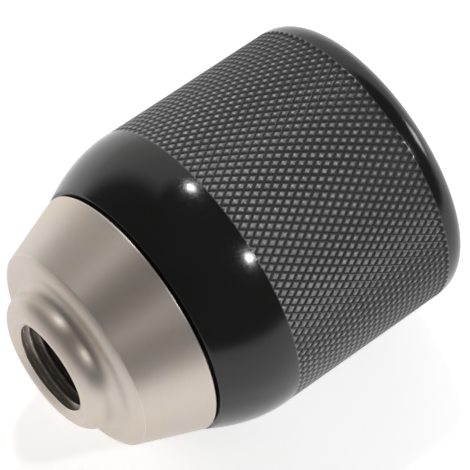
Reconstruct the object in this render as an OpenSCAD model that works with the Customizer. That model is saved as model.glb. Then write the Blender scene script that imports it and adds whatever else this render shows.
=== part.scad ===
// Keyless drill chuck with one gripping sleeve, jaws fully open.
// The chuck's axis is +X, from the spindle end to the nose. The origin is the
// centre of the rear face, where the chuck seats on the spindle's shoulder.
// Every piece is drawn about the Z axis and laid along +X by along_x().

/* [Spindle thread] */
// Major diameter of the spindle thread
spindle_d = 14.3; // [13.6:0.1:14.6]
// Depth of the spindle thread from the rear face
spindle_depth = 17; // [15:0.5:18]
// Diameter of the chamfer at the thread's mouth
mouth_d = 15; // [14.8:0.1:15.2]

/* [Tail of the body] */
// Diameter of the rear boss
boss_d = 20.6; // [20:0.1:21]
// Distance from the rear face to the flange
flange_back = 3.9; // [3.7:0.1:4.2]
// Diameter of the flange at its rear edge
flange_rear_d = 29.7; // [29:0.1:30.2]
// Diameter of the flange beside the sleeve
flange_front_d = 36.6; // [36:0.1:36.9]

/* [Sleeve] */
// Outside diameter over the gripping surface
sleeve_d = 43; // [42.6:0.1:44]
// Outside diameter of the sleeve beside the flange
sleeve_rear_d = 37.3; // [37:0.1:37.8]
// Length over which the sleeve widens
shoulder_len = 10; // [9:0.1:11]

/* [Jaws] */
// Diameter of each jaw
jaw_d = 7; // [6.8:0.05:7.05]
// Largest shank that the open jaws take
capacity = 13; // [12.6:0.1:13.2]

/* [Thrust bearing] */
// Diameter of a bearing ball
ball_d = 2; // [1.8:0.05:2.05]
// Number of balls
ball_count = 30; // [20:2:34]

/* [Sleeve lock] */
// Number of ratchet teeth
tooth_count = 60; // [48:12:72]

/* [Hidden] */
$fn = 96;
eps = 0.01;

// Radii of the body, from the flange to the nose
journal_r = 16.8;
ring_seat_r = 15.5;
front_r = 15.4;
nut_groove_r = 10.8;
spigot_r = 12;
tool_bore_r = 6.75;
screw_hole_r = 3.4;

// Stations along the axis
flange_front = 14;
sleeve_rear = 14.4;
sleeve_front = 55.1;
lip_front = 18.4;
relief_front = 36.6;
washer_rear = 18.5;
snap_rear = 19;
snap_front = 19.9;
tool_bore_rear = 20.5;
jaw_rear = 22;
ring_rear = 31;
ring_front = 37;
nut_rear = 41;
nut_front = 49;
drive_rear = 45.7;
bush_rear = 49.6;
bush_front = 53;
cap_rear = 53.3;
cap_step = 55;
cap_front = 56;
jaw_tip = 57;
nose_front = 57.3;

// Sleeve bore
sleeve_in_r = 18.8;
relief_r = 19.3;
lip_r = 17;
bush_out_r = 17.45;

// Jaws
jaw_angle = 15;
jaw_r = jaw_d / 2;
jaw_fit = 0.06;
grip_half = 0.45;
grip_r = capacity / 2;
jaw_axis_tip_r = 6.1;
jaw_turns = [180, 300, 60];

// Screw thread shared by the nut and the jaws
pitch = 1.6;
tooth_h = 0.8;
crest_half = 0.25;
thread_gap = 0.12;
flank_gap = 0.11;
groove_extra = 0.28;
flank = tan(15);

// Thrust bearing
ball_r = ball_d / 2;
ball_ring_r = 17.05;
ball_station = 39;
race_in_r = 15.45;
race_out_r = 18.6;
race_t = 1.2;
groove_r = ball_r + 0.05;

// Sleeve lock
ratchet_r = 18.5;
ratchet_root_r = 18;
ratchet_len = 4.6;
pawl_turns = [0, 180];
heel_r = 0.7;
heel_ring_r = 19.45;
arm_in_r = 19.15;
arm_out_r = 19.85;
arm_sweep = 22;
tooth_face = arm_sweep + 0.75;
pawl_rear = 31.4;
pawl_front = 35.2;
pocket_r = 20.2;

// ---- Functions ----

// Points on a circular arc
function arc(cx, cy, r, a0, a1, n) =
    [for (i = [0 : n]) [cx + r * cos(a0 + (a1 - a0) * i / n), cy + r * sin(a0 + (a1 - a0) * i / n)]];

// Points on a curve that leaves p0 and reaches p2 along lines through p1
function bend(p0, p1, p2, n) =
    [for (i = [0 : n]) let (t = i / n) (1 - t) * (1 - t) * p0 + 2 * t * (1 - t) * p1 + t * t * p2];

// Radius of a jaw's own axis, and of its outer line, at a station
function jaw_axis_r(a) = jaw_axis_tip_r + (jaw_tip - a) * tan(jaw_angle);
function jaw_out_r(a) = jaw_axis_r(a) + jaw_r / cos(jaw_angle);

// Cone on which the nut's thread stands
function thread_cone_r(a) = jaw_out_r(a) + thread_gap;

// Stations of the thread's teeth at a turn about the axis
function tooth_at(k, turn) = nut_rear + pitch * (k + turn / 360);

// ---- Shared shapes ----

module along_x() {
    rotate([0, 90, 0]) children();
}

// A ring of rectangular section
module ring(r_in, r_out, a0, a1) {
    translate([0, 0, a0])
        difference() {
            cylinder(r = r_out, h = a1 - a0);
            translate([0, 0, -1]) cylinder(r = r_in, h = a1 - a0 + 2);
        }
}

// A round bar on a jaw's axis, from one station to another
module jaw_bar(r, a0, a1) {
    translate([jaw_axis_r(a0), 0, a0])
        rotate([0, -jaw_angle, 0])
            cylinder(r = r, h = (a1 - a0) / cos(jaw_angle));
}

// ---- Chuck body ----

boss_r = boss_d / 2;
boss_round = 2;
neck_fillet = 1.6;
flange_round = 2.9;
flange_edge = 0.2;
seal_back = 14.1;
seal_front = 15.4;
seal_groove_r = 15.75;

function body_outline() = concat(
    [[0, 0]],
    arc(boss_r - boss_round, boss_round, boss_round, -90, 0, 8),
    arc(boss_r + neck_fillet, flange_back - neck_fillet, neck_fillet, 180, 90, 8),
    arc(flange_rear_d / 2 - flange_round * cos(45), flange_back + flange_round,
        flange_round, -90, -45, 6),
    [
        [flange_front_d / 2 - flange_edge / 4, flange_front - flange_edge],
        [flange_front_d / 2 - flange_edge, flange_front],
        [journal_r, flange_front],
        [journal_r, seal_back],
        [seal_groove_r, seal_back],
        [seal_groove_r, seal_front],
        [journal_r, seal_front],
        [journal_r, snap_rear],
        [journal_r - 0.6, snap_rear],
        [journal_r - 0.6, snap_front + 0.05],
        [journal_r, snap_front + 0.05],
        [journal_r, ring_rear],
        [ring_seat_r, ring_rear],
        [ring_seat_r, ring_front],
        [front_r, ring_front],
        [front_r, nut_rear - 0.1],
        [nut_groove_r, nut_rear - 0.1],
        [nut_groove_r, nut_front + 0.2],
        [front_r, nut_front + 0.2],
        [front_r, cap_step],
        [spigot_r, cap_step],
        [spigot_r, cap_front],
        [spigot_r - 0.6, cap_front],
        [spigot_r - 0.6, cap_front + 0.7],
        [spigot_r, cap_front + 0.7],
        [spigot_r - 0.4, nose_front],
        [0, nose_front]
    ]
);

module chuck_body() {
    spindle_r = spindle_d / 2;
    mouth_r = mouth_d / 2;
    color("#d8cdbd")
        along_x()
            difference() {
                rotate_extrude() polygon(body_outline());
                translate([0, 0, -1]) cylinder(r = spindle_r, h = spindle_depth + 1);
                translate([0, 0, -eps])
                    cylinder(r1 = mouth_r + eps, r2 = spindle_r, h = mouth_r - spindle_r + eps);
                translate([0, 0, spindle_depth - 1])
                    cylinder(r = screw_hole_r, h = tool_bore_rear - spindle_depth + 2);
                translate([0, 0, tool_bore_rear])
                    cylinder(r = tool_bore_r, h = nose_front - tool_bore_rear + 1);
                for (turn = jaw_turns)
                    rotate([0, 0, turn]) jaw_bar(jaw_r + jaw_fit, jaw_rear - 0.6, nose_front + 6);
            }
}

// Hardened ring that takes the nut's thrust, with the ratchet teeth on its rim
module thrust_ring() {
    step = 360 / tooth_count;
    color("#8a8782")
        along_x()
            difference() {
                union() {
                    translate([0, 0, ring_rear])
                        linear_extrude(height = ratchet_len)
                            polygon([
                                for (i = [0 : tooth_count - 1])
                                    for (side = [0, 1])
                                        let (r = side == 0 ? ratchet_root_r : ratchet_r)
                                        let (turn = tooth_face + i * step - side * 0.04 * step)
                                        [r * cos(turn), r * sin(turn)]
                            ]);
                    translate([0, 0, ring_rear + ratchet_len])
                        cylinder(r = race_out_r, h = ring_front - ring_rear - ratchet_len);
                }
                translate([0, 0, ring_rear - 1])
                    cylinder(r = ring_seat_r, h = ring_front - ring_rear + 2);
                for (turn = jaw_turns)
                    rotate([0, 0, turn]) jaw_bar(jaw_r + 0.5, jaw_rear, nut_rear);
            }
}

// ---- Sleeve ----

function sleeve_outline() =
    let (
        r_rear = sleeve_rear_d / 2,
        r_grip = sleeve_d / 2,
        rim_r = r_grip - 0.1,
        rim_len = 3.6,
        shoulder_end = sleeve_rear + shoulder_len
    )
    concat(
        [[lip_r, lip_front], [lip_r, sleeve_rear], [r_rear - 0.2, sleeve_rear]],
        bend([r_rear, sleeve_rear + 0.15], [r_grip, sleeve_rear + 0.54 * shoulder_len],
             [r_grip, shoulder_end], 16),
        bend([rim_r, sleeve_front - rim_len], [rim_r, sleeve_front - 1],
             [sleeve_in_r + 0.2, sleeve_front], 8),
        [
            [sleeve_in_r, sleeve_front - 0.1],
            [sleeve_in_r, relief_front],
            [relief_r, relief_front],
            [relief_r, lip_front + 2.2],
            [bush_out_r + 0.8, lip_front]
        ]
    );

// Room in the sleeve for each pawl: a round socket for its heel and a slot for its arm
module pawl_pocket() {
    arm_from = 1;
    arm_to = arm_sweep + 3;
    reach = 30;
    for (turn = pawl_turns)
        rotate([0, 0, turn]) {
            translate([heel_ring_r, 0, pawl_rear - 0.2])
                cylinder(r = heel_r + 0.06, h = pawl_front - pawl_rear + 0.4);
            intersection() {
                ring(sleeve_in_r - 1, pocket_r, pawl_rear - 0.2, pawl_front + 0.2);
                translate([0, 0, pawl_rear - 1])
                    linear_extrude(height = pawl_front - pawl_rear + 2)
                        polygon([
                            [0, 0],
                            [reach * cos(arm_from), reach * sin(arm_from)],
                            [reach * cos(arm_sweep / 2), reach * sin(arm_sweep / 2)],
                            [reach * cos(arm_to), reach * sin(arm_to)]
                        ]);
            }
        }
}

module outer_sleeve() {
    color("#161513")
        along_x()
            difference() {
                rotate_extrude() polygon(sleeve_outline());
                translate([0, 0, sleeve_rear + 1])
                    cylinder(r = bush_out_r, h = lip_front - sleeve_rear);
                pawl_pocket();
            }
}

module rear_bush() {
    color("#b08d57")
        along_x() ring(journal_r + 0.05, bush_out_r, sleeve_rear + 1, lip_front);
}

module front_bush() {
    color("#b08d57")
        along_x() ring(front_r + 0.05, sleeve_in_r, bush_rear, bush_front);
}

module rear_seal() {
    section_r = 0.6;
    color("#1c1c1c")
        along_x()
            rotate_extrude()
                translate([seal_groove_r + section_r, (seal_back + seal_front) / 2])
                    circle(r = section_r);
}

module sleeve_washer() {
    color("#c9c4ba")
        along_x() ring(journal_r, 18.1, washer_rear, snap_rear);
}

// Open ring in the body's groove, which keeps the sleeve on
module sleeve_snap_ring() {
    gap_w = 5;
    color("#6b6a68")
        along_x()
            difference() {
                ring(journal_r - 0.6, journal_r + 1, snap_rear, snap_front);
                translate([journal_r - 4, -gap_w / 2, snap_rear - 1]) cube([8, gap_w, 3]);
            }
}

// ---- Jaws ----

// One tooth space across a jaw, centred at station a
module jaw_groove(a) {
    depth = tooth_h + groove_extra;
    half_in = crest_half - groove_extra * flank + flank_gap;
    half_out = half_in + (depth + 1) * flank;
    rotate([90, 0, 0])
        linear_extrude(height = jaw_d + 2, center = true)
            polygon([
                [thread_cone_r(a - half_in) - depth, a - half_in],
                [thread_cone_r(a + half_in) - depth, a + half_in],
                [thread_cone_r(a + half_out) + 1, a + half_out],
                [thread_cone_r(a - half_out) + 1, a - half_out]
            ]);
}

module jaw(turn) {
    wedge_w = 4.3;
    wedge_r = grip_r + (wedge_w - grip_half) / tan(60);
    grooves_from = ceil((jaw_rear - 0.3 - nut_rear) / pitch - turn / 360);
    grooves_to = floor((nut_front + 1 - nut_rear) / pitch - turn / 360);
    color("#9a9690")
        along_x()
            rotate([0, 0, turn])
                difference() {
                    intersection() {
                        jaw_bar(jaw_r, jaw_rear, jaw_tip + 3);
                        linear_extrude(height = jaw_tip)
                            polygon([
                                [grip_r, -grip_half],
                                [grip_r, grip_half],
                                [wedge_r, wedge_w],
                                [25, wedge_w],
                                [25, -wedge_w],
                                [wedge_r, -wedge_w]
                            ]);
                        rotate_extrude()
                            polygon([[0, 0], [25, 0], [25, jaw_tip - 18], [8.7, jaw_tip], [0, jaw_tip]]);
                    }
                    for (k = [grooves_from : grooves_to]) jaw_groove(tooth_at(k, turn));
                }
}

module jaw_1() {
    jaw(jaw_turns[0]);
}

module jaw_2() {
    jaw(jaw_turns[1]);
}

module jaw_3() {
    jaw(jaw_turns[2]);
}

// ---- Nut ----

// Half of a tapered screw, whose threads leave the nut's own thread behind
module screw_half(from_turn) {
    slices = 31;
    over = 3;
    inner_r = nut_groove_r - 2;
    k_from = -2;
    k_to = ceil((nut_front - nut_rear) / pitch) + 1;
    base_half = crest_half + tooth_h * flank;
    function slice_turn(i) = from_turn - over + (180 + 2 * over) * i / slices;
    function slice(turn) = concat(
        [[inner_r, tooth_at(k_from, turn) - pitch / 2]],
        [
            for (k = [k_from : k_to])
                for (corner = [[-base_half, 0], [-crest_half, 1], [crest_half, 1], [base_half, 0]])
                    let (a = tooth_at(k, turn) + corner[0])
                    [thread_cone_r(a) - corner[1] * tooth_h, a]
        ],
        [[inner_r, tooth_at(k_to, turn) + pitch / 2]]
    );
    count = len(slice(0));
    points = [
        for (i = [0 : slices])
            let (turn = slice_turn(i))
            for (p = slice(turn)) [p[0] * cos(turn), p[0] * sin(turn), p[1]]
    ];
    sides = [
        for (i = [0 : slices - 1])
            for (j = [0 : count - 1])
                let (a = i * count + j)
                let (b = i * count + (j + 1) % count)
                for (face = [[a, b, b + count], [a, b + count, a + count]]) face
    ];
    first = [[for (j = [count - 1 : -1 : 0]) j]];
    last = [[for (j = [0 : count - 1]) slices * count + j]];
    polyhedron(points = points, faces = concat(sides, first, last), convexity = 10);
}

module nut_half(from_turn) {
    nut_r = 17;
    split = 0.05;
    color("#a39e94")
        along_x()
            difference() {
                intersection() {
                    ring(nut_groove_r + 0.2, nut_r, nut_rear, nut_front);
                    rotate([0, 0, from_turn])
                        translate([-20, split, nut_rear - 1])
                            cube([40, 20, nut_front - nut_rear + 2]);
                }
                screw_half(from_turn);
                rotate([0, 0, from_turn + 90])
                    translate([nut_r - 1.4, -3, nut_front - 3]) cube([3, 6, 4]);
            }
}

module nut_half_a() {
    nut_half(0);
}

module nut_half_b() {
    nut_half(180);
}

module nut_band() {
    color("#7d7a75")
        along_x() ring(17, 17.9, nut_rear, drive_rear - 0.2);
}

module drive_ring() {
    dog_w = 5.9;
    color("#8f8b84")
        along_x() {
            ring(17.05, sleeve_in_r, drive_rear, nut_front + 0.1);
            for (turn = [90, 270])
                rotate([0, 0, turn])
                    translate([15.7, -dog_w / 2, nut_front - 2.95]) cube([1.8, dog_w, 2.95]);
        }
}

// ---- Bearing ----

module race(a0, a1) {
    color("#b9b6b0")
        along_x()
            difference() {
                ring(race_in_r, race_out_r, a0, a1);
                rotate_extrude() translate([ball_ring_r, ball_station]) circle(r = groove_r);
            }
}

module bearing_race_rear() {
    race(ring_front, ring_front + race_t);
}

module bearing_race_front() {
    race(nut_rear - race_t, nut_rear);
}

module at_balls() {
    for (i = [0 : ball_count - 1])
        rotate([0, 0, 360 * i / ball_count])
            translate([ball_ring_r, 0, ball_station]) children();
}

module ball_cage() {
    half_t = 0.4;
    color("#c2a15c")
        along_x()
            difference() {
                ring(race_in_r + 0.25, race_out_r - 0.2, ball_station - half_t, ball_station + half_t);
                at_balls() cylinder(r = ball_r + 0.05, h = 3 * half_t, center = true);
            }
}

module bearing_balls() {
    color("#dcdcdc")
        along_x() at_balls() sphere(r = ball_r);
}

// ---- Lock ----

// A curved arm on a round heel, with a tooth at its far end
module lock_pawl(turn) {
    tip_r = 18.85;
    tip_a = arm_sweep - 1.4;
    color("#55534f")
        along_x()
            rotate([0, 0, turn])
                translate([0, 0, pawl_rear])
                    linear_extrude(height = pawl_front - pawl_rear)
                        union() {
                            translate([heel_ring_r, 0]) circle(r = heel_r);
                            polygon(concat(
                                arc(0, 0, arm_out_r, 0, arm_sweep, 10),
                                [[tip_r * cos(arm_sweep), tip_r * sin(arm_sweep)]],
                                [[tip_r * cos(tip_a), tip_r * sin(tip_a)]],
                                arc(0, 0, arm_in_r, arm_sweep - 4, 0, 10)
                            ));
                        }
}

module lock_pawl_1() {
    lock_pawl(pawl_turns[0]);
}

module lock_pawl_2() {
    lock_pawl(pawl_turns[1]);
}

// Thin bowed strips between the pawls and the sleeve
module pawl_springs() {
    strip_t = 0.12;
    color("#b5b2ac")
        along_x()
            for (turn = pawl_turns)
                rotate([0, 0, turn + 5])
                    translate([0, 0, pawl_rear + 0.6])
                        linear_extrude(height = pawl_front - pawl_rear - 1.2)
                            polygon(concat(
                                arc(0, 0, pocket_r - 0.05, 0, arm_sweep - 6, 12),
                                arc(0, 0, pocket_r - 0.05 - strip_t, arm_sweep - 6, 0, 12)
                            ));
}

// ---- Nose ----

module nose_cap() {
    cap_r = 18.5;
    color("#cfc6b8")
        along_x()
            rotate_extrude()
                polygon([
                    [front_r, cap_rear],
                    [cap_r, cap_rear],
                    [cap_r, cap_step - 0.3],
                    [cap_r - 0.2, cap_step],
                    [cap_r - 2, cap_front],
                    [spigot_r, cap_front],
                    [spigot_r, cap_step],
                    [front_r, cap_step]
                ]);
}

module nose_snap_ring() {
    gap_w = 4;
    color("#6b6a68")
        along_x()
            difference() {
                ring(spigot_r - 0.6, spigot_r + 0.9, cap_front, cap_front + 0.65);
                translate([spigot_r - 3, -gap_w / 2, cap_front - 1]) cube([6, gap_w, 3]);
            }
}

chuck_body();
thrust_ring();
outer_sleeve();
rear_bush();
front_bush();
rear_seal();
sleeve_washer();
sleeve_snap_ring();
jaw_1();
jaw_2();
jaw_3();
nut_half_a();
nut_half_b();
nut_band();
drive_ring();
bearing_race_rear();
bearing_race_front();
ball_cage();
bearing_balls();
lock_pawl_1();
lock_pawl_2();
pawl_springs();
nose_cap();
nose_snap_ring();
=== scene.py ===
from math import cos, hypot, pi, radians, sin, tan

import bmesh
import bpy
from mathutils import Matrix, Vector


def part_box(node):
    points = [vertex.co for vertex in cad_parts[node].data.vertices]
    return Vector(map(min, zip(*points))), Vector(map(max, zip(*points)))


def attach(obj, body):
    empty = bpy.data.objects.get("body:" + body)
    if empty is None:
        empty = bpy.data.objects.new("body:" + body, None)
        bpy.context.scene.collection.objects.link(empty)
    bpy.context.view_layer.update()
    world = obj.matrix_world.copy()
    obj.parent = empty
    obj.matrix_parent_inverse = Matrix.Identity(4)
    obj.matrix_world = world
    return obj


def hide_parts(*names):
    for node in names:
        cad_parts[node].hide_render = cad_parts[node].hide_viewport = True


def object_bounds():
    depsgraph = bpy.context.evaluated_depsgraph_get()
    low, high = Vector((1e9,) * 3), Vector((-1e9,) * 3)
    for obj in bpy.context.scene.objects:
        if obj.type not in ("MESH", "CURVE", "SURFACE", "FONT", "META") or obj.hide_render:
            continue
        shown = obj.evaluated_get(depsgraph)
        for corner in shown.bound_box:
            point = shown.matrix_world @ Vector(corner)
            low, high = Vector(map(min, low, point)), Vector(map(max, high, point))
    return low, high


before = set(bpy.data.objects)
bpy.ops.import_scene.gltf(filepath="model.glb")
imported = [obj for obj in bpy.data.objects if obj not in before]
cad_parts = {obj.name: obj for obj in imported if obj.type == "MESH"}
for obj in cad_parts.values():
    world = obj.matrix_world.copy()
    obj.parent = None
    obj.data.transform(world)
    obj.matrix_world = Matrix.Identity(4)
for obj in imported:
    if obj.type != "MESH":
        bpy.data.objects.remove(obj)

CAD_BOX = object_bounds()
MIDDLE = (Vector(CAD_BOX[0]) + Vector(CAD_BOX[1])) / 2
MM = 0.001
TURN = 2 * pi


def span(node):
    """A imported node's first and last station along the axis, in millimetres."""
    low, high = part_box(node)
    return round(low[0] / MM, 2), round(high[0] / MM, 2)


# Stations along the axis and radii, in millimetres. The body, from its rear face to the nose:
SPINDLE_R = 7.15
THREAD_PITCH = 1.411
THREAD_DEPTH = 0.7
SOCKET_DEPTH = 17.0
MOUTH_R = 7.5
BOSS_R = 10.3
BOSS_ROUND = 2.0
FLANGE_BACK = 3.9
NECK_FILLET = 1.6
FLANGE_ROUND = 2.9
FLANGE_REAR_R = 14.85
FLANGE_FRONT_R = 18.3
FLANGE_FRONT = 14.0
JOURNAL_R = 16.8
SEAL_FRONT = 15.4
SEAL_GROOVE_R = 15.75
SNAP_REAR, SNAP_FRONT = span("sleeve_snap_ring")
SNAP_GROOVE_R = 16.2
RING_REAR, RING_FRONT = span("thrust_ring")
RING_SEAT_R = 15.5
FRONT_R = 15.4
NUT_REAR, NUT_FRONT = span("nut_half_a")
NUT_GROOVE_R = 10.8
CAP_STEP = 55.0
CAP_FRONT = span("nose_cap")[1]
SPIGOT_R = 12.0
NOSE_FRONT = span("chuck_body")[1]
SCREW_HOLE_R = 3.4
TOOL_BORE_R = 6.75
TOOL_BORE_REAR = 20.5
JAW_BORE_R = 3.56
JAW_ANGLE = radians(15)
JAW_AXIS_TIP_R = 6.1
JAW_TIP = span("jaw_1")[1]
JAW_REAR = 21.4
JAW_TURNS = (pi, 5 * pi / 3, pi / 3)

# The sleeve, with its bore and the room for the lock pawls:
SLEEVE_REAR, SLEEVE_FRONT = span("outer_sleeve")
SLEEVE_REAR_R = 18.65
SHOULDER_LEN = 10.0
SHOULDER_END = SLEEVE_REAR + SHOULDER_LEN
RIM_LEN = 3.6
GRIP_R = 21.49
RIM_R = 21.39
LIP_R = 17.0
BUSH_REAR, BUSH_FRONT = span("rear_bush")
BUSH_R = 17.45
SLEEVE_IN_R = 18.8
RELIEF_R = 19.3
RELIEF_FRONT = 36.6
PAWL_REAR = 31.2
PAWL_FRONT = 35.4
POCKET_R = 20.2
HEEL_RING_R = 19.45
HEEL_R = 0.76

# The knurled grip:
KNURL_REAR = 25.3
KNURL_FRONT = 51.15
KNURL_COUNT = 104
KNURL_ROWS = 27
KNURL_DEPTH = 0.3


# Outlines ------------------------------------------------------------------

def arc(station, radius, size, start, end, steps):
    """Points (station, radius) on a circular arc; 0 degrees points along the axis, 90 outward."""
    angles = [radians(start + (end - start) * i / steps) for i in range(steps + 1)]
    return [(station + size * cos(a), radius + size * sin(a)) for a in angles]


def bend(start, corner, end, steps):
    """Points on a curve that leaves start and reaches end along lines through corner."""
    points = []
    for i in range(steps + 1):
        t = i / steps
        weights = ((1 - t) ** 2, 2 * t * (1 - t), t * t)
        points.append(tuple(
            sum(w * p[k] for w, p in zip(weights, (start, corner, end))) for k in (0, 1)
        ))
    return points


def spread(first, last, steps):
    """Numbers evenly spaced from first to last."""
    return [first + (last - first) * i / steps for i in range(steps + 1)]


def supported(outline, near=0.06):
    """An outline with extra points by the ends of its straight runs, so that only edges look round."""
    points = []
    for (a, r), (b, s) in zip(outline, outline[1:]):
        points.append((a, r))
        length = hypot(b - a, s - r)
        if length > 4 * near:
            t = near / length
            points += [(a + (b - a) * u, r + (s - r) * u) for u in (t, 1 - t)]
    return points + outline[-1:]


# Meshes --------------------------------------------------------------------

def on_axis(station, radius, turn):
    """A point about the X axis, in metres."""
    return (station * MM, radius * cos(turn) * MM, radius * sin(turn) * MM)


def radius_at(radius, turn):
    return radius(turn) if callable(radius) else radius


def add_rings(bm, outline, turns):
    """One ring of vertices for each (station, radius) of an outline."""
    return [[bm.verts.new(on_axis(a, radius_at(r, t), t)) for t in turns] for a, r in outline]


def add_bands(bm, rings):
    """Quads between each ring and the next one."""
    for ring, after in zip(rings, rings[1:]):
        count = len(ring)
        for i in range(count):
            j = (i + 1) % count
            bm.faces.new((ring[i], ring[j], after[j], after[i]))


def finish_mesh(bm, name, sharp=35):
    """A closed mesh object with smooth faces and sharp edges where the surface turns quickly."""
    bmesh.ops.recalc_face_normals(bm, faces=bm.faces)
    mesh = bpy.data.meshes.new(name)
    bm.to_mesh(mesh)
    bm.free()
    mesh.shade_smooth()
    mesh.set_sharp_from_angle(angle=radians(sharp))
    piece = bpy.data.objects.new(name, mesh)
    bpy.context.scene.collection.objects.link(piece)
    return piece


def revolve(name, outline, turns, sharp=35):
    """A closed outline turned about the axis."""
    bm = bmesh.new()
    rings = add_rings(bm, outline, turns)
    add_bands(bm, rings + rings[:1])
    return finish_mesh(bm, name, sharp)


def cut(piece, cutters, sharp=35):
    """Cut each closed cutter out of a piece, and delete the cutters."""
    for cutter in cutters:
        step = piece.modifiers.new("cut", "BOOLEAN")
        step.operation = "DIFFERENCE"
        step.solver = "MANIFOLD"
        step.object = cutter
    shaped = bpy.data.meshes.new_from_object(piece.evaluated_get(bpy.context.evaluated_depsgraph_get()))
    piece.modifiers.clear()
    piece.data = shaped
    shaped.shade_smooth()
    shaped.set_sharp_from_angle(angle=radians(sharp))
    for cutter in cutters:
        bpy.data.objects.remove(cutter)


def bar(name, start, end, radius, sides=96):
    """A closed round bar between two points in metres."""
    bm = bmesh.new()
    along = Vector(end) - Vector(start)
    turn = along.to_track_quat("Z", "Y").to_matrix()
    rings = []
    for centre in (Vector(start), Vector(end)):
        rings.append([
            bm.verts.new(centre + turn @ Vector((radius * cos(t), radius * sin(t), 0)))
            for t in spread(0, TURN, sides)[:-1]
        ])
    add_bands(bm, rings)
    bm.faces.new(reversed(rings[0]))
    bm.faces.new(rings[1])
    return finish_mesh(bm, name)


# Turned body ---------------------------------------------------------------

def thread_radius(station):
    """The socket's wall at a station: a 60 degree thread that the mouth's chamfer cuts away."""
    chamfer_slope = 2.5
    run_out = 1.2
    ridge_width = 0.82
    crest_cut = 1.25
    chamfer = MOUTH_R - chamfer_slope * station
    fade = min(1.0, max(0.0, (SOCKET_DEPTH - run_out - station) / run_out))

    def wall(turn):
        phase = (station / THREAD_PITCH - turn / TURN) % 1
        ridge = max(0.0, 1 - abs(phase - 0.5) * 2 / ridge_width)
        inner = SPINDLE_R - THREAD_DEPTH * fade * min(1.0, ridge * crest_cut)
        return max(inner, chamfer)

    return wall


def body_outline():
    fillet_a = FLANGE_BACK - NECK_FILLET
    fillet_r = BOSS_R + NECK_FILLET
    arc_r = FLANGE_REAR_R - FLANGE_ROUND * cos(radians(45))
    arc_a = FLANGE_BACK + FLANGE_ROUND
    thread_rows = 200
    outer = (
        [(0, MOUTH_R + 0.1), (0, BOSS_R - BOSS_ROUND - 0.06)]
        + bend((0, BOSS_R - BOSS_ROUND), (0.65, BOSS_R), (fillet_a, BOSS_R), 24)
        + arc(fillet_a, fillet_r, NECK_FILLET, -90, 0, 14)
        + arc(arc_a, arc_r, FLANGE_ROUND, 180, 137, 12)
        + arc(arc_a, arc_r, FLANGE_ROUND, 136, 135, 1)
        + [
            (FLANGE_FRONT - 0.3, FLANGE_FRONT_R - 0.07),
            (FLANGE_FRONT - 0.12, FLANGE_FRONT_R - 0.1),
            (FLANGE_FRONT, FLANGE_FRONT_R - 0.24),
            (FLANGE_FRONT, JOURNAL_R + 0.05),
            (FLANGE_FRONT + 0.1, JOURNAL_R),
            (FLANGE_FRONT + 0.1, SEAL_GROOVE_R),
            (SEAL_FRONT, SEAL_GROOVE_R),
            (SEAL_FRONT, JOURNAL_R),
            (SNAP_REAR, JOURNAL_R),
            (SNAP_REAR, SNAP_GROOVE_R),
            (SNAP_FRONT + 0.05, SNAP_GROOVE_R),
            (SNAP_FRONT + 0.05, JOURNAL_R),
            (RING_REAR, JOURNAL_R),
            (RING_REAR, RING_SEAT_R),
            (RING_FRONT, RING_SEAT_R),
            (RING_FRONT, FRONT_R),
            (NUT_REAR - 0.1, FRONT_R),
            (NUT_REAR - 0.1, NUT_GROOVE_R),
            (NUT_FRONT + 0.2, NUT_GROOVE_R),
            (NUT_FRONT + 0.2, FRONT_R),
            (CAP_STEP, FRONT_R),
            (CAP_STEP, SPIGOT_R),
            (CAP_FRONT, SPIGOT_R),
            (CAP_FRONT, SPIGOT_R - 0.6),
            (CAP_FRONT + 0.7, SPIGOT_R - 0.6),
            (CAP_FRONT + 0.7, SPIGOT_R),
            (NOSE_FRONT - 0.25, SPIGOT_R),
            (NOSE_FRONT - 0.08, SPIGOT_R - 0.08),
            (NOSE_FRONT, SPIGOT_R - 0.25),
        ]
    )
    inner = [
        (NOSE_FRONT, TOOL_BORE_R + 0.5),
        (NOSE_FRONT - 0.15, TOOL_BORE_R + 0.2),
        (NOSE_FRONT - 0.5, TOOL_BORE_R),
        (TOOL_BORE_REAR, TOOL_BORE_R),
        (TOOL_BORE_REAR, SCREW_HOLE_R + 0.3),
        (TOOL_BORE_REAR - 0.3, SCREW_HOLE_R),
        (SOCKET_DEPTH + 0.3, SCREW_HOLE_R),
        (SOCKET_DEPTH, SCREW_HOLE_R + 0.3),
        (SOCKET_DEPTH, SPINDLE_R),
    ]
    thread = [(a, thread_radius(a)) for a in spread(SOCKET_DEPTH - 0.05, 0.02, thread_rows)]
    return supported(outer + inner) + thread


def jaw_axis_point(station, turn):
    """A point on a jaw's axis; jaw turns are counted from -Z towards +Y."""
    radius = JAW_AXIS_TIP_R + (JAW_TIP - station) * tan(JAW_ANGLE)
    return (station * MM, radius * sin(turn) * MM, -radius * cos(turn) * MM)


def chuck_body():
    turns = spread(0, TURN, 192)[:-1]
    body = revolve("body_turned", body_outline(), turns, sharp=28)
    bores = [
        bar("bore", jaw_axis_point(JAW_REAR, turn), jaw_axis_point(NOSE_FRONT + 6, turn), JAW_BORE_R * MM)
        for turn in JAW_TURNS
    ]
    cut(body, bores, sharp=28)
    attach(body, "body")
    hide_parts("chuck_body")
    return body


# Sleeve --------------------------------------------------------------------

def grip_radius(station):
    """The sleeve's outer radius over its gripping length, which tapers slightly to the rim."""
    along = (station - SHOULDER_END) / (SLEEVE_FRONT - RIM_LEN - SHOULDER_END)
    return GRIP_R + (RIM_R - GRIP_R) * along


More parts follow.
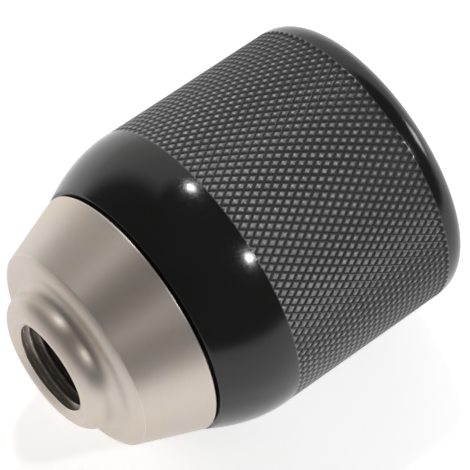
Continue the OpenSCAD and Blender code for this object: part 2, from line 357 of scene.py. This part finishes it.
def sleeve_rear_outline():
    """From the knurl's rear edge back over the shoulder and round through the bore to the front."""
    shoulder = bend(
        (SLEEVE_REAR + 0.15, SLEEVE_REAR_R),
        (SLEEVE_REAR + 0.54 * SHOULDER_LEN, GRIP_R),
        (SHOULDER_END, GRIP_R),
        40,
    )
    smooth = [(a, r) for a, r in shoulder if a < KNURL_REAR - 0.3] + [(KNURL_REAR - 0.5, GRIP_R)]
    return (
        [(KNURL_REAR - 0.12, GRIP_R - 0.01)]
        + smooth[::-1]
        + [
            (SLEEVE_REAR + 0.04, SLEEVE_REAR_R - 0.1),
            (SLEEVE_REAR, SLEEVE_REAR_R - 0.22),
            (SLEEVE_REAR, LIP_R + 0.15),
            (SLEEVE_REAR + 0.15, LIP_R),
            (BUSH_REAR, LIP_R),
            (BUSH_REAR, BUSH_R),
            (BUSH_FRONT, BUSH_R),
            (BUSH_FRONT, BUSH_R + 0.8),
            (BUSH_FRONT + 2.2, RELIEF_R),
            (PAWL_REAR, RELIEF_R),
            (PAWL_FRONT, RELIEF_R),
            (RELIEF_FRONT, RELIEF_R),
            (RELIEF_FRONT, SLEEVE_IN_R),
            (SLEEVE_FRONT - 0.3, SLEEVE_IN_R),
        ]
    )


def sleeve_front_outline():
    """From the bore's front edge over the rim to the knurl's front edge."""
    rim = bend(
        (SLEEVE_FRONT - RIM_LEN, RIM_R),
        (SLEEVE_FRONT - 1.0, RIM_R),
        (SLEEVE_FRONT, SLEEVE_IN_R + 0.2),
        20,
    )
    return (
        [(SLEEVE_FRONT - 0.12, SLEEVE_IN_R + 0.06)]
        + rim[::-1]
        + [(KNURL_FRONT + 0.12, RIM_R)]
    )


# Each step up a diamond: its size against the diamond's foot, and its height against the knurl's depth.
KNURL_STEPS = ((1.0, 0.0), (0.64, 0.56), (0.36, 0.88), (0.18, 1.0))


def knurl_turns():
    """Turns of the vertices along a row of diamonds, which the smooth stretches share."""
    halves = [0.5 * (1 - s) for s, _ in KNURL_STEPS]
    within = halves + [1 - h for h in reversed(halves[1:])]
    return [(i + w) / KNURL_COUNT * TURN for i in range(KNURL_COUNT) for w in within]


def knurl_radius(station, height):
    return grip_radius(station) - KNURL_DEPTH * (1 - height)


def add_knurl(bm):
    """A band of raised diamonds between two sets of crossing grooves; returns its end rings."""
    row_len = (KNURL_FRONT - KNURL_REAR) / KNURL_ROWS
    valleys = []
    for row in range(KNURL_ROWS + 1):
        station = KNURL_REAR + row * row_len
        shift = (row % 2) / 2
        valleys.append([
            bm.verts.new(on_axis(station, knurl_radius(station, 0), (i + shift) / KNURL_COUNT * TURN))
            for i in range(KNURL_COUNT)
        ])
    ends = {0: [], KNURL_ROWS: []}
    for row in range(KNURL_ROWS + 1):
        station = KNURL_REAR + row * row_len
        shift = (row % 2) / 2
        for i in range(KNURL_COUNT):
            # Corners in order: left, front, right, rear, as far as the band goes.
            beside = i if row % 2 == 0 else (i + 1) % KNURL_COUNT
            corners = [valleys[row][i], None, valleys[row][(i + 1) % KNURL_COUNT], None]
            if row < KNURL_ROWS:
                corners[1] = valleys[row + 1][beside]
            if row > 0:
                corners[3] = valleys[row - 1][beside]
            offsets = ((-0.5, 0), (0, row_len), (0.5, 0), (0, -row_len))
            rings = [corners]
            for size, height in KNURL_STEPS[1:]:
                ring = []
                for corner, (side, along) in zip(corners, offsets):
                    if corner is None:
                        ring.append(None)
                        continue
                    a = station + along * size
                    turn = (i + shift + 0.5 + side * size) / KNURL_COUNT * TURN
                    ring.append(bm.verts.new(on_axis(a, knurl_radius(a, height), turn)))
                rings.append(ring)
            for ring, after in zip(rings, rings[1:]):
                for k in range(4):
                    j = (k + 1) % 4
                    if ring[k] and ring[j]:
                        bm.faces.new((ring[k], ring[j], after[j], after[k]))
            bm.faces.new([v for v in rings[-1] if v])
            if row in ends:
                lefts = [ring[0] for ring in rings]
                rights = [ring[2] for ring in rings[1:]]
                ends[row] += lefts + rights[::-1]
    return ends[0], ends[KNURL_ROWS]


def pawl_pocket(turn):
    """A closed cutter for one pawl's room: a curved slot with a round socket for the heel."""
    sweep = radians(25)
    inner = SLEEVE_IN_R - 1
    bm = bmesh.new()
    rings = []
    for a in (PAWL_REAR, PAWL_FRONT):
        ring = [bm.verts.new(on_axis(a, POCKET_R, turn + t)) for t in spread(0, sweep, 16)]
        ring += [bm.verts.new(on_axis(a, inner, turn + t)) for t in spread(sweep, 0, 16)]
        rings.append(ring)
    add_bands(bm, rings)
    bm.faces.new(rings[0])
    bm.faces.new(rings[1])
    slot = finish_mesh(bm, "slot")
    heel = bar(
        "heel",
        on_axis(PAWL_REAR, HEEL_RING_R, turn),
        on_axis(PAWL_FRONT, HEEL_RING_R, turn),
        HEEL_R * MM,
    )
    return [slot, heel]


def outer_sleeve():
    turns = knurl_turns()
    # The last row of diamonds stands half a diamond round from the first.
    front_turns = [t + TURN / KNURL_COUNT * (KNURL_ROWS % 2) / 2 for t in turns]
    bm = bmesh.new()
    start, end = add_knurl(bm)
    rear = add_rings(bm, sleeve_rear_outline(), turns)
    front = add_rings(bm, sleeve_front_outline(), front_turns)
    add_bands(bm, [start] + rear + front + [end])
    sleeve = finish_mesh(bm, "sleeve_knurled", sharp=24)
    cut(sleeve, pawl_pocket(-pi / 2) + pawl_pocket(pi / 2), sharp=24)
    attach(sleeve, "sleeve")
    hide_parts("outer_sleeve")
    return sleeve


# Materials -----------------------------------------------------------------

class Nodes:
    """Short calls for building a material's nodes."""

    def __init__(self, name):
        self.material = bpy.data.materials.new(name)
        self.material.use_nodes = True
        self.tree = self.material.node_tree
        self.shader = self.tree.nodes["Principled BSDF"]
        self.place = self.add("ShaderNodeTexCoord").outputs["Object"]

    def add(self, kind, **settings):
        node = self.tree.nodes.new(kind)
        for key, value in settings.items():
            setattr(node, key, value)
        return node

    def feed(self, socket, value):
        if hasattr(value, "is_output"):
            self.tree.links.new(value, socket)
        else:
            socket.default_value = value

    def math(self, operation, *values, clamp=False):
        node = self.add("ShaderNodeMath", operation=operation, use_clamp=clamp)
        for socket, value in zip(node.inputs, values):
            self.feed(socket, value)
        return node.outputs[0]

    def stretch(self, value, low, high, out_low=0.0, out_high=1.0):
        """A value's range carried to another range, and held there."""
        node = self.add("ShaderNodeMapRange", interpolation_type="SMOOTHSTEP")
        for name, number in zip(("Value", "From Min", "From Max", "To Min", "To Max"),
                                (value, low, high, out_low, out_high)):
            self.feed(node.inputs[name], number)
        return node.outputs[0]

    def mix(self, factor, first, second):
        node = self.add("ShaderNodeMix", data_type="RGBA")
        for socket, value in zip((node.inputs[0], node.inputs[6], node.inputs[7]), (factor, first, second)):
            self.feed(socket, value)
        return node.outputs[2]

    def scaled(self, vector, factors):
        node = self.add("ShaderNodeVectorMath", operation="MULTIPLY")
        self.feed(node.inputs[0], vector)
        self.feed(node.inputs[1], factors)
        return node.outputs[0]

    def noise(self, per_mm, detail=3.0, vector=None, roughness=0.55):
        """Noise with so many features to a millimetre."""
        node = self.add("ShaderNodeTexNoise")
        scale = per_mm / MM
        self.feed(node.inputs["Vector"], self.scaled(vector or self.place, (scale, scale, scale)))
        node.inputs["Scale"].default_value = 1.0
        node.inputs["Detail"].default_value = detail
        node.inputs["Roughness"].default_value = roughness
        return node.outputs["Fac"]

    def turned(self):
        """Station, distance from the axis and turn about it, for marks that a lathe leaves."""
        parts = self.add("ShaderNodeSeparateXYZ")
        self.feed(parts.inputs[0], self.place)
        x, y, z = parts.outputs
        radius = self.math("SQRT", self.math("ADD", self.math("MULTIPLY", y, y), self.math("MULTIPLY", z, z)))
        return x, radius, self.math("ARCTAN2", z, y)

    def lathe_noise(self, per_mm, around):
        """Noise drawn out around the axis."""
        x, radius, turn = self.turned()
        join = self.add("ShaderNodeCombineXYZ")
        self.feed(join.inputs[0], self.math("MULTIPLY", x, per_mm / MM))
        self.feed(join.inputs[1], self.math("MULTIPLY", radius, per_mm / MM))
        self.feed(join.inputs[2], self.math("MULTIPLY", self.math("SINE", turn), around))
        node = self.add("ShaderNodeTexNoise")
        self.feed(node.inputs["Vector"], join.outputs[0])
        node.inputs["Scale"].default_value = 1.0
        node.inputs["Detail"].default_value = 2.0
        return node.outputs["Fac"]

    def edges(self, radius_mm):
        """How far the surface is from flat within a small radius: 0 on faces, 1 on edges."""
        soft = self.add("ShaderNodeBevel", samples=6)
        soft.inputs["Radius"].default_value = radius_mm * MM
        plain = self.add("ShaderNodeNewGeometry").outputs["True Normal"]
        dot = self.add("ShaderNodeVectorMath", operation="DOT_PRODUCT")
        self.feed(dot.inputs[0], soft.outputs[0])
        self.feed(dot.inputs[1], plain)
        return self.stretch(dot.outputs["Value"], 0.997, 0.96)

    def bump(self, height, strength, depth_mm, normal=None):
        node = self.add("ShaderNodeBump")
        self.feed(node.inputs["Height"], height)
        node.inputs["Strength"].default_value = strength
        node.inputs["Distance"].default_value = depth_mm * MM
        if normal is not None:
            self.feed(node.inputs["Normal"], normal)
        return node.outputs["Normal"]

    def set(self, **values):
        for key, value in values.items():
            self.feed(self.shader.inputs[key.replace("_", " ")], value)


def bright_steel():
    """Turned and plated steel: fine circular tool marks, a warm tone, small scratches, lighter edges that are
    partly wear and partly a painted highlight.
    """
    n = Nodes("finish_bright_steel")
    x, radius, _ = n.turned()
    cloud = n.noise(0.12, 4.0)
    marks = n.lathe_noise(6.0, 3.0)
    fine = n.lathe_noise(22.0, 6.0)
    specks = n.stretch(n.noise(1.6, 5.0), 0.66, 0.74)
    edge = n.edges(0.16)
    plate = n.mix(n.stretch(cloud, 0.3, 0.7), (0.65, 0.57, 0.485, 1), (0.63, 0.575, 0.53, 1))
    plate = n.mix(n.math("MULTIPLY", specks, 0.25), plate, (0.36, 0.33, 0.30, 1))
    # Edges get a lighter colour: partly wear, partly a painted edge highlight.
    plate = n.mix(edge, plate, (0.88, 0.85, 0.81, 1))
    # Inside the spindle socket and the bores the colour darkens to a dark brown with depth: painted shade.
    socket = n.math(
        "MULTIPLY",
        n.stretch(radius, 7.5 * MM, 7.3 * MM),
        n.stretch(x, 0.2 * MM, 6.0 * MM),
    )
    colour = n.mix(socket, plate, (0.085, 0.06, 0.045, 1))
    rough = n.math("ADD", n.stretch(fine, 0.35, 0.65, 0.46, 0.52), n.math("MULTIPLY", specks, 0.08))
    rough = n.math("SUBTRACT", rough, n.math("MULTIPLY", edge, 0.12))
    normal = n.bump(marks, 0.12, 0.004)
    normal = n.bump(fine, 0.08, 0.002, normal)
    around = n.add("ShaderNodeTangent", direction_type="RADIAL", axis="X").outputs[0]
    n.set(Base_Color=colour, Metallic=1.0, Roughness=rough, Normal=normal, Tangent=around)
    n.set(Anisotropic=0.6, Anisotropic_Rotation=0.25)
    return n.material


def black_sleeve():
    """Glossy blackened steel, worn to grey on the crests of the grip, with lighter edges that are partly wear
    and partly a painted highlight.
    """
    n = Nodes("finish_black_sleeve")
    x, radius, _ = n.turned()
    cloud = n.noise(0.09, 3.0)
    grain = n.noise(3.0, 3.0)
    marks = n.lathe_noise(9.0, 4.0)
    band = n.math(
        "MULTIPLY",
        n.stretch(x, (KNURL_REAR - 0.3) * MM, (KNURL_REAR + 0.2) * MM),
        n.stretch(x, (KNURL_FRONT + 0.3) * MM, (KNURL_FRONT - 0.2) * MM),
    )
    crest = n.math("MULTIPLY", band, n.stretch(radius, (GRIP_R - 0.2) * MM, (GRIP_R - 0.05) * MM))
    wear = n.math("MULTIPLY", crest, n.stretch(grain, 0.3, 0.7, 0.5, 1.0))
    edge = n.math("MULTIPLY", n.edges(0.1), n.math("SUBTRACT", 1.0, band))
    colour = n.mix(n.stretch(cloud, 0.35, 0.65), (0.004, 0.0037, 0.0034, 1), (0.0065, 0.0062, 0.006, 1))
    colour = n.mix(band, colour, (0.072, 0.072, 0.074, 1))
    colour = n.mix(wear, colour, (0.38, 0.38, 0.385, 1))
    # Edges away from the grip get a lighter grey: partly wear, partly a painted edge highlight.
    colour = n.mix(n.math("MULTIPLY", edge, 0.5), colour, (0.16, 0.155, 0.15, 1))
    rough = n.stretch(grain, 0.3, 0.7, 0.13, 0.19)
    rough = n.math("ADD", rough, n.math("MULTIPLY", band, 0.2))
    normal = n.bump(marks, 0.12, 0.003)
    normal = n.bump(grain, 0.10, 0.004, normal)
    n.set(Base_Color=colour, Metallic=n.math("MULTIPLY", wear, 0.6), Roughness=rough, Normal=normal)
    return n.material


def plain_metal(slot, light, dark, rough):
    """A machined metal: cloudy colour, tool marks around the axis and brighter edges, partly wear and partly
    a painted highlight.
    """
    n = Nodes("finish_" + slot)
    cloud = n.stretch(n.noise(0.35, 4.0), 0.3, 0.7)
    marks = n.lathe_noise(8.0, 4.0)
    grain = n.noise(4.0, 4.0)
    edge = n.edges(0.08)
    colour = n.mix(cloud, light, dark)
    # Brighter edges: partly wear, partly a painted edge highlight.
    colour = n.mix(n.math("MULTIPLY", edge, 0.7), colour, tuple(min(1.0, c * 1.5) for c in light[:3]) + (1,))
    spread_rough = n.math("ADD", n.stretch(grain, 0.3, 0.7, rough - 0.05, rough + 0.08),
                          n.math("MULTIPLY", cloud, 0.04))
    normal = n.bump(marks, 0.25, 0.004)
    normal = n.bump(grain, 0.12, 0.003, normal)
    n.set(Base_Color=colour, Metallic=1.0, Roughness=spread_rough, Normal=normal)
    return n.material


def seal_rubber():
    """Matte black rubber with a fine grain."""
    n = Nodes("finish_seal_rubber")
    grain = n.noise(5.0, 4.0)
    colour = n.mix(n.stretch(grain, 0.3, 0.7), (0.012, 0.012, 0.012, 1), (0.03, 0.03, 0.031, 1))
    rough = n.stretch(grain, 0.3, 0.7, 0.55, 0.75)
    n.set(Base_Color=colour, Roughness=rough, Normal=n.bump(grain, 0.3, 0.01))
    return n.material


def finishes():
    """Each material slot's finish."""
    return {
        "bright_steel": bright_steel(),
        "black_sleeve": black_sleeve(),
        "jaw_steel": plain_metal("jaw_steel", (0.36, 0.35, 0.34, 1), (0.24, 0.235, 0.23, 1), 0.26),
        "inner_steel": plain_metal("inner_steel", (0.42, 0.40, 0.38, 1), (0.30, 0.29, 0.28, 1), 0.30),
        "bearing_steel": plain_metal("bearing_steel", (0.62, 0.61, 0.60, 1), (0.52, 0.51, 0.50, 1), 0.12),
        "spring_steel": plain_metal("spring_steel", (0.20, 0.19, 0.185, 1), (0.11, 0.10, 0.10, 1), 0.30),
        "bronze": plain_metal("bronze", (0.62, 0.40, 0.19, 1), (0.45, 0.27, 0.12, 1), 0.32),
        "seal_rubber": seal_rubber(),
    }


def dress(pieces):
    """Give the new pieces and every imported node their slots' finishes."""
    by_slot = finishes()
    for slot, piece in pieces.items():
        piece.data.materials.clear()
        piece.data.materials.append(by_slot[slot])
    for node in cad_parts.values():
        for entry in node.material_slots:
            entry.material = by_slot[entry.material.name.split(".")[0]]


# Stage ---------------------------------------------------------------------

def floor():
    """A wide pale floor under the chuck's side that glows, a painted light that fills its shadows; far out on
    the camera's side its colour darkens and its glow fades, a painted shade.
    """
    lowest = CAD_BOX[0][2]
    bm = bmesh.new()
    radii = (0.1, 0.3, 0.9, 2.0)
    sides = 64
    middle = bm.verts.new((0, 0, lowest))
    rings = [
        [bm.verts.new((r * cos(t), r * sin(t), lowest)) for t in spread(0, TURN, sides)[:-1]] for r in radii
    ]
    for i in range(sides):
        bm.faces.new((middle, rings[0][i], rings[0][(i + 1) % sides]))
    add_bands(bm, rings)
    piece = finish_mesh(bm, "floor")
    n = Nodes("stage_floor")
    grain = n.noise(0.05, 2.0)
    parts = n.add("ShaderNodeSeparateXYZ")
    n.feed(parts.inputs[0], n.place)
    # The floor's glow and pale colour are painted light; where they fade toward -Y the floor gets painted
    # shade.
    painted_floor_light = n.stretch(parts.outputs[1], -0.45, -0.11)
    pale = n.mix(grain, (0.86, 0.86, 0.86, 1), (0.9, 0.9, 0.9, 1))
    n.set(Base_Color=n.mix(painted_floor_light, (0.55, 0.55, 0.55, 1), pale), Roughness=0.6)
    n.set(Emission_Color=(1.0, 1.0, 1.0, 1), Emission_Strength=n.math("MULTIPLY", painted_floor_light, 0.62))
    piece.data.materials.append(n.material)


CAMERA_BACK = Vector((-0.3425, -0.4290, 0.8358)).normalized()
CAMERA_RIGHT = Vector((0.7815, -0.6239, 0.0)).normalized()
CAMERA_UP = CAMERA_BACK.cross(CAMERA_RIGHT)
CAMERA_DISTANCE = 0.492
CAMERA_LENS = 281.4
# What the camera aims at, from the chuck's middle: along the axis, to the right and up, in metres.
CAMERA_AIM = (-0.0001, 0.00257, 0.00268)


def camera():
    """The view from behind the spindle end and above, with a long lens."""
    middle = MIDDLE + Vector((CAMERA_AIM[0], 0, 0))
    aim = middle + CAMERA_RIGHT * CAMERA_AIM[1] + CAMERA_UP * CAMERA_AIM[2]
    place = middle + CAMERA_BACK * CAMERA_DISTANCE
    data = bpy.data.cameras.new("camera")
    data.lens = CAMERA_LENS
    data.sensor_width = 36
    data.clip_start = 0.01
    data.clip_end = 10
    view = bpy.data.objects.new("camera", data)
    view.location = place
    view.rotation_euler = (place - aim).to_track_quat("Z", "Y").to_euler()
    bpy.context.scene.collection.objects.link(view)
    bpy.context.scene.camera = view


def lamp(name, direction, distance, size, power):
    """A soft square lamp that shines at the chuck's middle from a direction."""
    data = bpy.data.lights.new(name, "AREA")
    data.shape = "SQUARE"
    data.size = size
    data.energy = power
    light = bpy.data.objects.new(name, data)
    away = Vector(direction).normalized()
    light.location = MIDDLE + away * distance
    light.rotation_euler = away.to_track_quat("Z", "Y").to_euler()
    bpy.context.scene.collection.objects.link(light)


# The tent's dim parts: a direction, and the cosines from it where dimming starts and is full.
DIM_CONES = (((0.0, -0.55, 0.83), 0.28, 0.46), ((-0.85, 0.40, 0.35), 0.46, 0.68))


def tent():
    """A white tent all round, dim overhead, on the camera's side and behind the spindle end."""
    world = bpy.data.worlds.new("tent")
    world.use_nodes = True
    bpy.context.scene.world = world
    tree = world.node_tree
    sky = tree.nodes["Background"]
    towards = tree.nodes.new("ShaderNodeTexCoord").outputs["Generated"]
    shades = []
    for centre, edge, full in DIM_CONES:
        dot = tree.nodes.new("ShaderNodeVectorMath")
        dot.operation = "DOT_PRODUCT"
        tree.links.new(towards, dot.inputs[0])
        dot.inputs[1].default_value = Vector(centre).normalized()
        ramp = tree.nodes.new("ShaderNodeMapRange")
        ramp.interpolation_type = "SMOOTHSTEP"
        tree.links.new(dot.outputs["Value"], ramp.inputs["Value"])
        ramp.inputs["From Min"].default_value = edge
        ramp.inputs["From Max"].default_value = full
        shades.append(ramp.outputs[0])
    either = tree.nodes.new("ShaderNodeMath")
    either.operation = "MAXIMUM"
    tree.links.new(shades[0], either.inputs[0])
    tree.links.new(shades[1], either.inputs[1])
    mix = tree.nodes.new("ShaderNodeMix")
    mix.data_type = "RGBA"
    tree.links.new(either.outputs[0], mix.inputs[0])
    mix.inputs[6].default_value = (1.0, 0.99, 0.98, 1)
    mix.inputs[7].default_value = (0.17, 0.168, 0.166, 1)
    tree.links.new(mix.outputs[2], sky.inputs["Color"])
    sky.inputs["Strength"].default_value = 1.0


def stage():
    bpy.context.scene.view_settings.view_transform = "Standard"
    floor()
    camera()
    tent()
    lamp("lamp_high", (0.27, 0.37, 0.89), 1.2, 0.08, 2.6)
    lamp("lamp_side", (0.32, -0.63, 0.71), 1.2, 0.08, 2.6)
    lamp("lamp_nose", (0.93, -0.27, 0.26), 1.0, 0.25, 1.5)


stage()
dress({"bright_steel": chuck_body(), "black_sleeve": outer_sleeve()})
